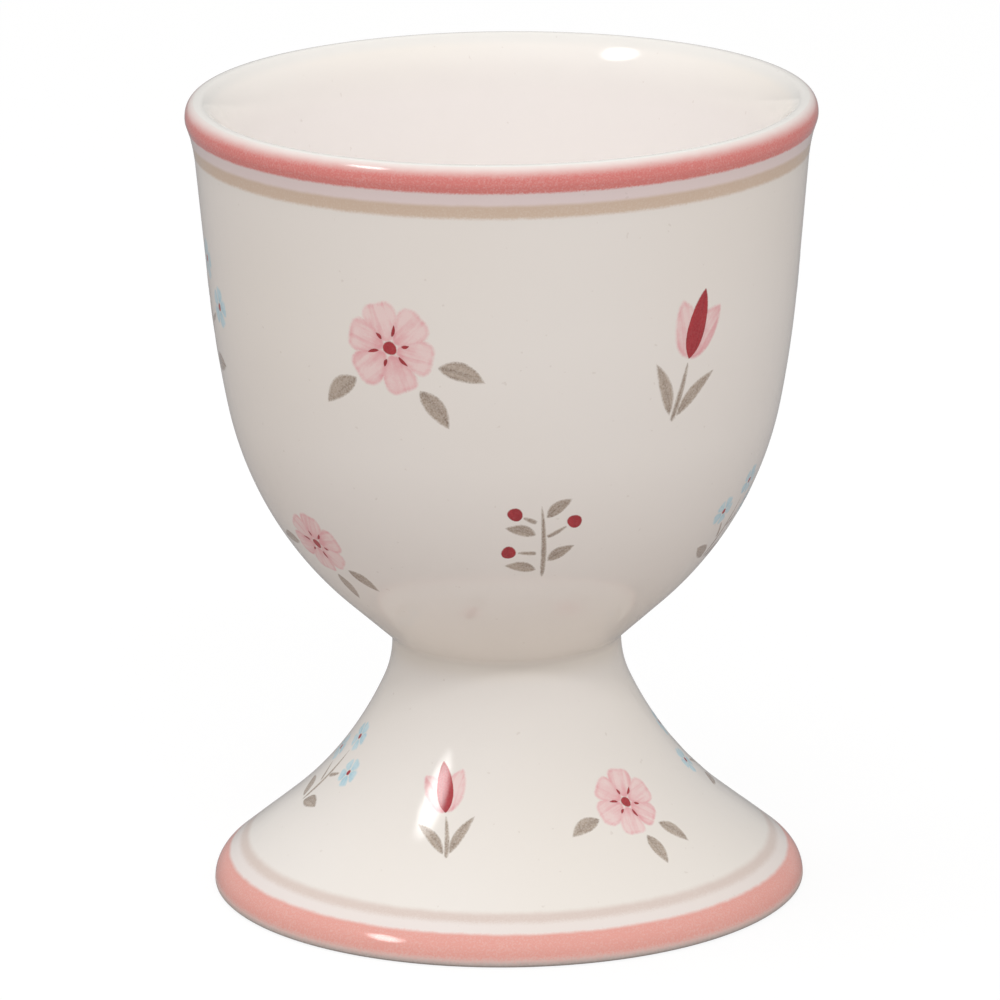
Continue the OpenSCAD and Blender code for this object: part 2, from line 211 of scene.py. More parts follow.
class EggCupBands(bpy.types.PropertyGroup):
    """Sizes of the painted bands and lines."""

    rim_band_drop: length("Rim band drop", 0.42, "Drop from the lip's top to the rim band")
    rim_band_h: length("Rim band height", 1.66, "Height of the broad rim band")
    rim_gap: length("Rim gap", 1.03, "Gap between the rim band and its fine line")
    rim_line_h: length("Rim line height", 1.05, "Height of the fine line under the rim band")
    foot_band_z: length("Foot band place", 0.56, "Height where the foot band starts")
    foot_band_h: length("Foot band height", 1.83, "Height of the broad foot band")
    foot_gap: length("Foot gap", 0.7, "Gap between the foot band and its fine line")
    foot_line_h: length("Foot line height", 0.55, "Height of the fine line over the foot band")
    band_soft: length("Band softness", 0.28, "Height over which a band's inner edge fades")
    line_soft: length("Line softness", 0.42, "Height over which each edge of a fine line fades")
    rim_fade: length("Rim fade", 1.2, "Height over which the rim band fades out on the lip")
    foot_fade: length("Foot fade", 0.9, "Height over which the foot band fades out below")
    rim_stain: share("Rim stain", 0.25, "Strength of the stain between rim band and line")
    foot_stain: share("Foot stain", 0.09, "Strength of the stain between foot band and line")


class EggCupPrint(bpy.types.PropertyGroup):
    """Sizes and places of the scattered flowers."""

    row_count: IntProperty(name="Flowers in a row", default=6, min=3, description="Flowers in a row")
    upper_z_share: share("Upper row", 0.754, "Height of the upper row, as a share of the height")
    lower_z_share: share("Lower row", 0.5, "Height of the lower row, as a share of the height")
    foot_z_share: share("Foot row", 0.148, "Height of the row on the foot, as a share")
    upper_turn: lean("Upper row turn", -22, "Turn of the upper row about the axis")
    lower_turn: lean("Lower row turn", 8, "Turn of the lower row about the axis")
    foot_turn: lean("Foot row turn", -20, "Turn of the foot's row about the axis")
    upper_size: share("Upper row size", 1.0, "Size of the upper row's flowers")
    lower_size: share("Lower row size", 0.8, "Size of the lower row's flowers")
    foot_size: share("Foot row size", 0.78, "Size of the flowers on the foot")
    stagger: length("Stagger", 1, "How far the bowl's flowers stand up and down in turn")
    sway: lean("Sway", 14, "How far the flowers lean to one side and the other in turn")
    petal_d: length("Pink petal", 2.9, "Diameter of a petal of the pink bloom")
    small_petal_d: length("Blue petal", 1.3, "Diameter of a petal of the blue bloom")
    berry_d: length("Berry", 1.5, "Diameter of a berry")
    leaf_l: length("Leaf length", 3.9, "Length of a leaf")
    leaf_w: length("Leaf width", 1.5, "Width of a leaf")
    stalk_w: length("Stalk width", 0.42, "Width of a stalk")
    tulip_h: length("Tulip height", 5.8, "Height of the closed tulip")
    tulip_w: length("Tulip petal", 2.5, "Width of a petal of the tulip")


class EggCupColours(bpy.types.PropertyGroup):
    """Colours of the glaze and the enamels."""

    clay: colour("Glazed clay", "#f2ede7", "White earthenware under clear glaze")
    # Pooled glaze: a warmer tone in broad patches and at the neck, which under the bowl also stands
    # as painted shade
    clay_warm_and_shade: colour("Pooled glaze", "#ebe1d1", "Glaze where it lies thick")
    # Painted light: a whiter glaze that brightens the inside of the bowl
    clay_inside_painted_light: colour("Glaze inside", "#f9f4f1", "Whiter glaze inside the bowl")
    clay_lip: colour("Glaze on the lip", "#ebe8e3", "Thinner, cooler glaze on top of the lip")
    # Bare clay of the standing ring, darker grey as painted shade on the foot's lower edge
    bare_clay_and_shade: colour("Bare clay", "#9d918c", "Unglazed ring that the foot stands on")
    rim_pink: colour("Rim band", "#e1857f", "Broad band under the lip")
    haze: colour("Haze", "#e0a7b9", "Faint stain between each band and its line")
    foot_pink: colour("Foot band", "#eaa69b", "Broad band on the foot")
    rim_taupe: colour("Rim line", "#dac3ae", "Fine line under the rim band")
    foot_taupe: colour("Foot line", "#e0d0c7", "Fine line over the foot band")
    petal_pale: colour("Petal", "#f3d6d3", "Pale part of the pink petals")
    petal_deep: colour("Petal shade", "#e8a3a8", "Deep part of the pink petals")
    red_pale: colour("Red", "#b02832", "Light part of the red enamel")
    red_deep: colour("Deep red", "#92202a", "Deep part of the red enamel")
    blue_pale: colour("Blue", "#cde6ee", "Pale part of the blue petals")
    blue_deep: colour("Blue shade", "#a6d2e2", "Deep part of the blue petals")
    leaf_pale: colour("Leaf", "#b3a292", "Pale part of the leaves")
    leaf_deep: colour("Leaf shade", "#8f7d6e", "Deep part of the leaves")


class EggCupStage(bpy.types.PropertyGroup):
    """Power and brightness of the light."""

    top_power: share("Top softbox", 1.48, "Power of the large softbox overhead, in watts")
    key_power: share("Key softbox", 1.83, "Power of the wide softbox at the front, in watts")
    room: share("Room light", 0.68, "Brightness of the white room for what it lights")
    room_side: share("Room side", 0.2, "How much brighter the room is low at its right side")
    room_gloss: share("Room in the glaze", 0.42, "Brightness of the room as the glaze mirrors it")
    window: share("Window", 12.0, "Brightness of the oval window that the glaze mirrors")


class EggCupLooks(bpy.types.PropertyGroup):
    """Everything that a user would change."""

    section: PointerProperty(type=EggCupSection)
    bands: PointerProperty(type=EggCupBands)
    print: PointerProperty(type=EggCupPrint)
    colours: PointerProperty(type=EggCupColours)
    stage: PointerProperty(type=EggCupStage)


# ---- Shader expressions ----


class Wire:
    """One output of a shader tree, used as a number in Python expressions."""

    def __init__(self, graph, socket):
        self.graph = graph
        self.socket = socket

    def math(self, operation, *values):
        return self.graph.add("Math", dict(enumerate(values)), {"operation": operation})

    def __add__(self, other):
        return self.math("ADD", self, other)

    def __radd__(self, other):
        return self.math("ADD", other, self)

    def __sub__(self, other):
        return self.math("SUBTRACT", self, other)

    def __rsub__(self, other):
        return self.math("SUBTRACT", other, self)

    def __mul__(self, other):
        return self.math("MULTIPLY", self, other)

    def __rmul__(self, other):
        return self.math("MULTIPLY", other, self)

    def __truediv__(self, other):
        return self.math("DIVIDE", self, other)

    def __abs__(self):
        return self.math("ABSOLUTE", self)

    def most(self, other):
        """The larger of two values."""
        return self.math("MAXIMUM", self, other)

    def ramp(self, low, high):
        """0 below low, 1 above high, and a smooth rise between them."""
        return self.graph.add(
            "MapRange", {"Value": self, "From Min": low, "From Max": high},
            {"interpolation_type": "SMOOTHSTEP"},
        )


class Graph:
    """The node tree of one material or of the world."""

    def __init__(self, owner):
        owner.use_nodes = True
        self.tree = owner.node_tree
        self.tree.nodes.clear()

    def add(self, kind, inputs=None, settings=None, output=0):
        """One node, with the values or wires of its sockets, and one of its outputs."""
        node = self.tree.nodes.new("ShaderNode" + kind)
        for name, value in (settings or {}).items():
            setattr(node, name, value)
        for name, value in (inputs or {}).items():
            if isinstance(value, Wire):
                self.tree.links.new(value.socket, node.inputs[name])
            else:
                node.inputs[name].default_value = value
        return Wire(self, node.outputs[output]) if len(node.outputs) else None

    def place(self):
        """Object coordinates."""
        return self.add("TexCoord", output="Object")

    def ray(self, kind):
        """1 for a ray of one kind and 0 for any other."""
        return self.add("LightPath", output=f"Is {kind} Ray")

    def attribute(self, name):
        return self.add("Attribute", None, {"attribute_name": name}, "Fac")

    def axis(self, vector, name):
        return self.add("SeparateXYZ", {0: vector}, output=name)

    def noise(self, vector, size, detail=2.0, roughness=0.5):
        """Noise between 0 and 1 whose lumps are about the given size."""
        return self.add(
            "TexNoise",
            {"Vector": vector, "Scale": 1 / size, "Detail": detail, "Roughness": roughness},
        )

    def grain(self, place):
        """Fine grain of a printed colour, between -0.5 and 0.5."""
        return self.noise(place, GRAIN_SIZE, 2.0, 0.65) - 0.5

    def mix(self, factor, first, second):
        """The first colour where factor is 0 and the second where it is 1."""
        def four(value):
            return value if isinstance(value, Wire) else (*value, 1.0)
        return self.add(
            "Mix", {0: factor, 6: four(first), 7: four(second)}, {"data_type": "RGBA"}, 2
        )

    def toward(self, vector, direction):
        """How far a vector reaches along a direction."""
        return self.add(
            "VectorMath", {0: vector, 1: tuple(direction)}, {"operation": "DOT_PRODUCT"}, "Value"
        )


def band_heights(looks):
    """Lowest and highest height of the rim band, rim line, foot band and foot line."""
    b = looks.bands
    rim_high = looks.section.cup_h - b.rim_band_drop
    rim_low = rim_high - b.rim_band_h
    line_high = rim_low - b.rim_gap
    foot_high = b.foot_band_z + b.foot_band_h
    foot_line = foot_high + b.foot_gap
    return (
        (rim_low, rim_high), (line_high - b.rim_line_h, line_high),
        (b.foot_band_z, foot_high), (foot_line, foot_line + b.foot_line_h),
    )


def stains(looks):
    """Middle, half height and strength of the faint stain in each gap."""
    rim, rim_line, foot, foot_line = band_heights(looks)
    return (
        ((rim[0] + rim_line[1]) / 2, (rim[0] - rim_line[1]) / 2, looks.bands.rim_stain),
        ((foot[1] + foot_line[0]) / 2, (foot_line[0] - foot[1]) / 2, looks.bands.foot_stain),
    )


def bare_and_shade_share(graph, place):
    """1 on the unglazed ring that stands on the table, fading out up the foot's lower edge where
    the bare tone also paints shade, and 0 where the glaze covers.
    """
    wander = graph.noise(place, 2 * MM, 3.0) * 0.12 * MM
    return 1 - (graph.axis(place, "Z") + wander).ramp(BARE_SHADE_LOW, BARE_SHADE_HIGH)


def glaze_colour(graph, place, looks):
    """White ware under clear glaze: a little warmer in broad patches and where glaze pools at
    the neck, which also paints shade under the bowl, whiter inside the bowl as painted light,
    cooler on top of the lip, faintly stained by the ink between each band and its line, bare on
    the standing ring and darker there as painted shade on the foot's lower edge, with a few
    faint specks."""
    colours = looks.colours
    height = graph.axis(place, "Z")
    drift = graph.noise(place, 26 * MM, 1.0).ramp(0.35, 0.7)
    # Pooled glaze at the neck, whose warmer, darker tone also paints shade under the bowl
    pooled_and_shaded = height.ramp(*POOL_SHADE_START) * (1 - height.ramp(*POOL_SHADE_END))
    speck = graph.noise(place, 0.55 * MM, 1.0).ramp(0.755, 0.8)
    tone = graph.mix(drift * 0.18 + pooled_and_shaded * 0.4, colours.clay, colours.clay_warm_and_shade)
    # The inside of the bowl is whitened as painted light, more with depth
    inside = graph.attribute("inside")
    tone = graph.mix(inside, tone, colours.clay_inside_painted_light)
    outside = 1 - inside.ramp(0.0, 0.01)
    for middle, half, strength in stains(looks):
        near = 1 - abs(height - middle).ramp(half, half + STAIN_FADE)
        tone = graph.mix(near * outside * strength, tone, colours.haze)
    top = looks.section.cup_h
    tone = graph.mix(height.ramp(top - LIP_TONE, top - LIP_FULL), tone, colours.clay_lip)
    tone = graph.mix(speck * 0.16, tone, colours.leaf_pale)
    # Bare clay on the standing ring, whose darker tone also paints shade on the foot's lower edge
    clay = graph.mix(graph.noise(place, 0.2 * MM, 3.0) * 0.4, colours.bare_clay_and_shade, colours.clay)
    return graph.mix(bare_and_shade_share(graph, place), tone, clay)


def glaze_finish(graph, place):
    """Roughness and bump of the glaze: glossy, gently uneven, with a fine orange peel, and
    matt on the bare standing ring."""
    roughness = graph.noise(place, 5 * MM, 3.0) * 0.05 + 0.055 + bare_and_shade_share(graph, place) * 0.7
    swell = graph.noise(place, 9 * MM, 1.0)
    peel = graph.noise(place, 1.3 * MM, 1.0)
    bump = graph.add(
        "Bump", {"Strength": 1.0, "Distance": 0.012 * MM, "Height": swell * 4 + peel * 0.35}
    )
    return roughness, bump


def glazed(name, looks, paint=lambda graph, place, tone: tone):
    """Material of clear-glazed ware, left bare and matt on the narrow ring that stands on the
    table, with its darker bare tone also as painted shade on the foot's lower edge. The ware's own
    tone goes through paint, which may lay ink over it."""
    material = bpy.data.materials.new(name)
    graph = Graph(material)
    place = graph.place()
    base = paint(graph, place, glaze_colour(graph, place, looks))
    roughness, bump = glaze_finish(graph, place)
    shader = graph.add(
        "BsdfPrincipled",
        {"Base Color": base, "Roughness": roughness, "IOR": 1.52, "Normal": bump},
    )
    graph.add("OutputMaterial", {"Surface": shader})
    return material


def band_material(name, looks, ink, low, high, low_soft, high_soft):
    """Painted band between two heights, each edge as soft as given, with the fine grain of a
    printed colour and a slightly uneven coat."""
    def paint(graph, place, tone):
        grain = graph.grain(place)
        waver = graph.noise(place, 1.1 * MM) - 0.5
        edge = graph.axis(place, "Z") + (grain * 0.2 + waver * 0.12) * MM
        lower = edge.ramp(low - low_soft / 2, low + low_soft / 2)
        upper = 1 - edge.ramp(high - high_soft / 2, high + high_soft / 2)
        coat = 0.9 + graph.noise(place, 4 * MM) * 0.14 + grain * 0.8
        return graph.mix(lower * upper * coat, tone, ink)
    return glazed(name, looks, paint)


def print_material(name, looks, pale, deep, rim, vein, heart, grain_depth, cover_share):
    """Printed enamel that fades out at its soft edge. Its deep tone gathers just inside the
    edge (rim), along streaks and the middle line (vein) and at the base of the shape (heart).
    Fine grain breaks up both its tone and its cover."""
    def paint(graph, place, tone):
        cover, along, across, shape_tone = (
            graph.attribute(key) for key in ("cover", "along", "across", "tone")
        )
        grain = graph.grain(place)
        wash = graph.noise(place, 0.8 * MM) - 0.5
        ragged = (cover + grain * 0.5 + wash * 0.35).ramp(0.08, 0.92)
        streak_place = graph.add(
            "CombineXYZ", {"X": across * 3.6, "Y": along * 0.9, "Z": shape_tone * 37}
        )
        streak = graph.noise(streak_place, 1.0).ramp(0.4, 0.7)
        outline = cover.ramp(0.2, 0.75) * (1 - cover.ramp(0.75, 1.6))
        middle = 1 - abs(across).ramp(0.04, 0.3)
        base_glow = 1 - along.ramp(0.05, 0.7)
        depth = (
            outline * rim + streak * 0.5 + middle * vein + base_glow * heart
            + (shape_tone - 0.5) * 0.35 + wash * 0.8 + grain * grain_depth
        )
        ink_cover = ragged * (cover_share + grain * grain_depth * 0.5)
        return graph.mix(ink_cover, tone, graph.mix(depth, pale, deep))
    return glazed(name, looks, paint)


# ---- Section of the cup, worked out as the CAD source does ----


def toward(angle):
    """Unit vector at an angle from straight outwards, in the plane of the section."""
    return np.stack([np.cos(angle), np.sin(angle)], axis=-1)


def downward(angle):
    """Unit vector down a wall of given lean."""
    return np.array([-math.sin(angle), -math.cos(angle)])


def flat_turn(angle):
    """Matrix that turns rows of flat points anticlockwise: (x, y) @ [[c, s], [-s, c]]."""
    c, s = math.cos(angle), math.sin(angle)
    return np.array([[c, s], [-s, c]])


def smooth(reach):
    """Soft rise t^2 (3 - 2 t), with t kept between 0 and 1."""
    t = np.clip(reach, 0, 1)
    return t ** 2 * (3 - 2 * t)


def arc(centre, radius, start, stop, step):
    """Points centre + radius * (cos a, sin a), for a from start to stop, both included."""
    count = max(2, math.ceil(abs(radius * (stop - start)) / step) + 1)
    return centre + radius * toward(np.linspace(start, stop, count))


def square_arc(centre, width, height, power, start, stop, count):
    """Points of the rounded oblong |x / w|^n + |z / h|^n = 1 round a centre, where its outward
    normal turns from start to stop: (w p^(1/(n-1)), h q^(1/(n-1))) / d, with p = w |cos a|,
    q = h |sin a| and d = (p^(n/(n-1)) + q^(n/(n-1)))^(1/n)."""
    normal = toward(np.linspace(start, stop, count))
    reach = np.array([width, height])
    size = np.abs(normal) * reach
    scale = (size ** (power / (power - 1))).sum(axis=1) ** (1 / power)
    return centre + reach * np.sign(normal) * size ** (1 / (power - 1)) / scale[:, None]


def joined(step, *parts):
    """Parts laid end to end, with the gaps between them filled by evenly spaced points."""
    points = [np.atleast_2d(parts[0])]
    for part in parts[1:]:
        part = np.atleast_2d(part)
        run = part[0] - points[-1][-1]
        count = math.ceil(np.hypot(*run) / step)
        if count > 1:
            steps = np.arange(1, count)[:, None] / count
            points.append(points[-1][-1] + steps * run)
        points.append(part if np.hypot(*run) > SAME_POINT else part[1:])
    return np.concatenate(points)


def rounded(corner, before, after, size, count=6):
    """A corner rounded off by the curve (1-t)^2 p + 2 t (1-t) corner + t^2 q, where p and q
    stand size away from it towards its neighbours."""
    first = corner + size * (before - corner) / np.hypot(*(before - corner))
    last = corner + size * (after - corner) / np.hypot(*(after - corner))
    t = np.linspace(0, 1, count)[:, None]
    return (1 - t) ** 2 * first + 2 * t * (1 - t) * corner + t ** 2 * last


class Section:
    """The cup's section: for each piece a row of points (radius, height). It is laid out as in
    the CAD source, with a raised lip on top, and then shrunk to the CAD's height."""

    def __init__(self, s):
        inward, up = math.pi, math.pi / 2
        side_r, belly_r = s.side_r_share * s.rim_d, s.belly_r_share * s.rim_d
        neck_z = s.neck_z_share * s.cup_h
        shrink = 1 - s.lip_rise / s.cup_h
        lip_c = np.array([(s.rim_d - s.lip_t) / 2, s.cup_h - s.lip_t / 2])
        crest_c = np.array([s.rim_d / 2 - s.lip_outer, lip_c[1]])
        crest_h = s.cup_h / shrink - lip_c[1]
        flare_c = lip_c + (s.lip_t / 2 + s.lip_flare_r) * toward(-s.lip_lean)
        wall_top = flare_c - s.lip_flare_r * toward(-s.wall_lean)
        slip_c = np.array([s.neck_d / 2 + s.slip_r, neck_z])
        seat = slip_c - s.slip_r * toward(-s.under_lean)
        run = seat - wall_top
        run = run - side_r * (toward(-s.side_lean) - toward(-s.wall_lean))
        run = run - belly_r * (toward(-s.under_lean) - toward(-s.side_lean))
        wall, under = downward(s.wall_lean), downward(s.under_lean)
        wall_l = (run[0] * under[1] - run[1] * under[0]) / (wall[0] * under[1] - wall[1] * under[0])
        side_c = wall_top + wall_l * wall - side_r * toward(-s.wall_lean)
        belly_c = side_c + (side_r - belly_r) * toward(-s.side_lean)
        fine = OUTSIDE_STEP
        self.bowl_outside = joined(
            fine,
            square_arc(crest_c, s.lip_outer, crest_h, s.lip_square, up, 0, 24),
            arc(lip_c, s.lip_t / 2, 0, -s.lip_lean, fine / 3),
            arc(flare_c, s.lip_flare_r, inward - s.lip_lean, inward - s.wall_lean, fine),
            arc(side_c, side_r, -s.wall_lean, -s.side_lean, fine),
            arc(belly_c, belly_r, -s.side_lean, -s.under_lean, fine),
            seat,
        ) * shrink

        coarse = INSIDE_STEP
        start = inward - s.lip_slope
        inner_lip = square_arc(
            crest_c, s.lip_inner, crest_h, s.lip_square, start, up, 12
        )
        slope_c = inner_lip[0] - s.slope_r * toward(start)
        spread_c = slope_c + (s.slope_r - s.cavity_flare_r) * toward(inward - s.lip_lean)
        cavity = spread_c + s.cavity_flare_r * toward(inward - s.cavity_lean)
        floor_z = seat[1] + s.floor_t
        floor_cz = (cavity @ toward(-s.cavity_lean) + floor_z) / (1 - math.sin(s.cavity_lean))
        floor_c = np.array([0.0, floor_cz])
        self.bowl_inside = joined(
            coarse,
            arc(floor_c, floor_cz - floor_z, -up, -s.cavity_lean, coarse),
            arc(spread_c, s.cavity_flare_r, inward - s.cavity_lean, inward - s.lip_lean, coarse / 2),
            arc(slope_c, s.slope_r, inward - s.lip_lean, start, coarse / 4),
            inner_lip,
        ) * shrink
        self.bowl_inside[0, 0] = 0.0
        self.seat = seat * shrink

        waist_c = np.array([s.neck_d / 2 + s.waist_r, neck_z])
        shoulder_c = np.array([s.foot_d / 2 - s.shoulder_r, s.edge_r])
        edge_c = np.array([s.foot_d / 2 - s.edge_w, s.edge_r])
        foot_run = shoulder_c - waist_c + s.waist_r * toward(s.waist_lean)
        flare_r = (foot_run @ foot_run - s.shoulder_r ** 2 - s.cone_l ** 2) / (
            2 * (foot_run @ toward(s.waist_lean) + s.shoulder_r)
        )
        foot_c = waist_c + (flare_r - s.waist_r) * toward(s.waist_lean)
        out = shoulder_c - foot_c
        cone = math.atan2(out[1], out[0]) - math.atan2(-s.cone_l, -flare_r - s.shoulder_r)
        self.foot_outside = joined(
            fine,
            arc(waist_c, s.waist_r, inward, inward + s.waist_lean, fine),
            arc(foot_c, flare_r, inward + s.waist_lean, inward + cone, fine),
            arc(shoulder_c, s.shoulder_r, cone, 0, fine / 2),
            square_arc(edge_c, s.edge_w, s.edge_r, 2, 0, -up, 9),
        ) * shrink
        bore_r = s.neck_d / 2 - s.foot_wall
        inner = foot_c + (flare_r + s.foot_wall) * toward(inward + cone)
        heel = np.array([inner[0] + inner[1] * math.tan(cone), 0.0])
        self.foot_inside = joined(
            coarse,
            rounded(heel, edge_c - [0, s.edge_r], inner, 0.3 * MM),
            arc(foot_c, flare_r + s.foot_wall, inward + cone, inward + s.waist_lean, coarse),
            arc(waist_c, s.waist_r + s.foot_wall, inward + s.waist_lean, inward, coarse),
        ) * shrink
        self.slip = joined(
            fine,
            np.array([[bore_r, neck_z], [s.neck_d / 2, neck_z]]),
            arc(slip_c, s.slip_r, inward, inward - s.under_lean, fine / 4),
            np.array([[bore_r, seat[1]], [bore_r, neck_z]]),
        )[:0:-1] * shrink


class Ground:
    """A turned surface as a carrier of prints: its radius and steepness at any height."""

    def __init__(self, outside):
        order = np.argsort(outside[:, 1], kind="stable")
        self.heights = outside[order, 1]
        self.radii = outside[order, 0]
        self.slopes = np.gradient(self.radii, self.heights)

    def radius(self, height):
        return np.interp(height, self.heights, self.radii)

    def slope(self, height):
        return np.interp(height, self.heights, self.slopes)

    def cast(self, flat, turn, height):
        """Where flat points (x to the viewer's right, y up the surface) land on the turned
        surface, and the surface's outward directions there. A point starts in the plane that
        touches the surface at the given height and moves square to that plane by t, found by
        Newton's steps on radius(x, y + t) - radius(z + t) = 0."""
        down = math.atan(float(self.slope(height)))
        x = flat[..., 0]
        y0 = -float(self.radius(height)) - flat[..., 1] * math.sin(down)
        z0 = height + flat[..., 1] * math.cos(down)
        t = np.zeros_like(x)
        for _ in range(8):
            y, z = y0 - t * math.cos(down), z0 - t * math.sin(down)
            spread = np.hypot(x, y)
            rate = -y * math.cos(down) / spread + self.slope(z) * math.sin(down)
            t = t - (spread - self.radius(z)) / rate
        y, z = y0 - t * math.cos(down), z0 - t * math.sin(down)
        spread, slope = np.hypot(x, y), self.slope(z)
        normal = np.stack([x / spread, y / spread, -slope], axis=-1)
        normal = normal / np.linalg.norm(normal, axis=-1, keepdims=True)
        about = np.eye(3)
        about[:2, :2] = flat_turn(turn)
        return np.stack([x, y, z], axis=-1) @ about, normal @ about


# ---- Meshes ----


def placed(name, data):
    """New object in the scene that shows some data."""
    item = bpy.data.objects.new(name, data)
    bpy.context.scene.collection.objects.link(item)
    return item


def make_piece(name, points, faces, material, slot, nodes, values=None, normals=None):
    """Links a mesh as a named piece that stands for CAD nodes, rides on the cup's body and
    takes the given material; the slot is not used. Values are numbers kept at its points for the
    material. Given normals take the place of the mesh's own when it is shaded."""
    mesh = bpy.data.meshes.new(name)
    mesh.from_pydata(points.tolist(), [], faces)
    for key, numbers in (values or {}).items():
        layer = mesh.attributes.new(key, "FLOAT", "POINT")
        layer.data.foreach_set("value", np.ascontiguousarray(numbers, np.float32))
    mesh.validate()
    mesh.shade_smooth()
    mesh.set_sharp_from_angle(angle=SHARP_ANGLE)
    if normals is not None:
        mesh.normals_split_custom_set_from_vertices(normals.tolist())
    mesh.materials.append(material)
    piece = placed(name, mesh)
    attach(piece, BODY)
    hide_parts(*nodes)


def turned(section, closed):
    """Points and faces of a section turned once about the Z axis: point (i, j) stands at
    (r_i cos a_j, r_i sin a_j, z_i) with a_j = 2 pi j / count. A closed section is a ring in
    section. An open one starts and ends on the axis, where its ring is a single point."""
    angle = np.linspace(0, 2 * math.pi, AROUND, endpoint=False)
    radius, height = section[:, 0, None], section[:, 1, None]
    grid = np.stack(np.broadcast_arrays(radius * np.cos(angle), radius * np.sin(angle), height), -1)
    index = np.arange(grid.shape[0] * AROUND).reshape(-1, AROUND)
    rings = index if closed else index[1:-1]
    above = rings if closed else rings[:-1]
    below = np.roll(rings, -1, axis=0) if closed else rings[1:]
    quads = np.stack(
        [above, below, np.roll(below, -1, axis=1), np.roll(above, -1, axis=1)], axis=-1
    ).reshape(-1, 4)
    if closed:
        return grid.reshape(-1, 3), quads.tolist()
    first, last = rings[0], rings[-1]
    caps = [
        np.stack([np.full(AROUND, AROUND - 1), first, np.roll(first, -1)], axis=-1),
        np.stack([last, np.full(AROUND, index[-1, 0]), np.roll(last, -1)], axis=-1),
    ]
    points = grid.reshape(-1, 3)[AROUND - 1:index[-1, 0] + 1]
    faces = quads.tolist() + np.concatenate(caps).tolist()
    return points, [[corner - AROUND + 1 for corner in face] for face in faces]


def film_section(outside, low, high):
    """Ring in section of a film that lies on an outline between two heights: its face stands
    lift * smooth(distance to its nearer edge / margin) over the outline, and its back lies
    under the outline. With it come the outline's own normals, so that light runs over the
    film's edge as over bare glaze."""
    run = np.diff(outside, axis=0)
    walk = np.concatenate([[0], np.cumsum(np.hypot(*run.T))])
    out = np.stack([-run[:, 1], run[:, 0]], axis=-1) / np.hypot(*run.T)[:, None]
    out = np.concatenate([out[:1], (out[:-1] + out[1:]) / 2, out[-1:]])
    start = np.interp(-high, -outside[:, 1], walk)
    stop = np.interp(-low, -outside[:, 1], walk)
    count = math.ceil((stop - start) / FILM_STEP) + 1
    at = np.linspace(start, stop, count)
    line = np.stack([np.interp(at, walk, outside[:, k]) for k in (0, 1)], axis=-1)
    normal = np.stack([np.interp(at, walk, out[:, k]) for k in (0, 1)], axis=-1)
    normal = normal / np.hypot(*normal.T)[:, None]
    rise = smooth(np.minimum(at - start, stop - at) / FILM_MARGIN)
    face = line + normal * ((FILM_LIFT + FILM_DIP) * rise - FILM_DIP)[:, None]
    back = (line - normal * FILM_BACK)[::-1][1:-1:3]
    return np.concatenate([face, back]), np.concatenate([normal, -normal[::-1][1:-1:3]])


def round_outline(size, phase=0.0):
    """Outline of a dot: (size / 2) (1 + 0.05 sin(2 t + phase) + 0.03 sin(3 t + 2 phase)) at
    angle t from its foot."""
    def at(t):
        swing = size / 2 * (1 + 0.05 * np.sin(2 * t + phase) + 0.03 * np.sin(3 * t + 2 * phase))
        return np.stack([swing * np.sin(t), size / 2 - swing * np.cos(t)], axis=-1)
    return at, size, size


def petal_outline(long, wide, phase=0.0, notch=0.06, foot=0.3):
    """Outline of a petal that widens from its foot to a tip with a shallow notch:
    across = (wide / 2) sin t (1 - foot cos t) (1 + 0.06 sin(2 t + phase)),
    along = (long / 2)(1 - cos t) less a notch at the tip."""
    def at(t):
        across = wide / 2 * np.sin(t) * (1 - foot * np.cos(t)) * (1 + 0.06 * np.sin(2 * t + phase))
        dip = notch * long * np.exp(-((t - math.pi - 0.2 * math.sin(phase)) / 0.42) ** 2)
        return np.stack([across, long / 2 * (1 - np.cos(t)) - dip], axis=-1)
    return at, long, wide


def leaf_outline(long, wide, bow=0.0, fullness=1.6):
    """Outline of a leaf: across = (wide / 2) sin t |sin t|^(fullness - 1) (1 + 0.2 cos t) plus a
    bow of sin^2 t, along = (long / 2)(1 - cos t). A small fullness gives even sides and blunt
    ends, and a large one gives long points."""
    def at(t):
        side = np.sign(np.sin(t)) * np.abs(np.sin(t)) ** fullness
        across = wide / 2 * side * (1 + 0.2 * np.cos(t)) + bow * np.sin(t) ** 2
        return np.stack([across, long / 2 * (1 - np.cos(t))], axis=-1)
    return at, long, wide


def patch(shape, origin, turn, soft, bow=0.0):
    """Flat grid of one printed shape: points middle + s (outline(t) - middle), with the cover
    of ink (distance to the outline / softness) and the place along and across the shape at
    each point. The middle is one point."""
    outline, long, wide = shape
    t = np.linspace(0, 2 * math.pi, SECTORS, endpoint=False)
    middle = np.array([bow, long / 2])
    rings = middle + RING_SHARES[1:, None, None] * (outline(t) - middle)
    own = np.concatenate([middle[None], rings.reshape(-1, 2)])
    rim = outline(np.linspace(0, 2 * math.pi, EDGE_SECTORS, endpoint=False))
    edge = np.linalg.norm(own[:, None] - rim[None], axis=-1).min(axis=1)
    edge[-SECTORS:] = 0.0
    flat = np.asarray(origin) + own @ flat_turn(turn)
    across = (own[:, 0] - 4 * bow * own[:, 1] / long * (1 - own[:, 1] / long)) / (wide / 2)
    cover = edge / min(soft, 0.85 * edge.max())
    return {"flat": flat, "cover": cover, "along": own[:, 1] / long, "across": across}


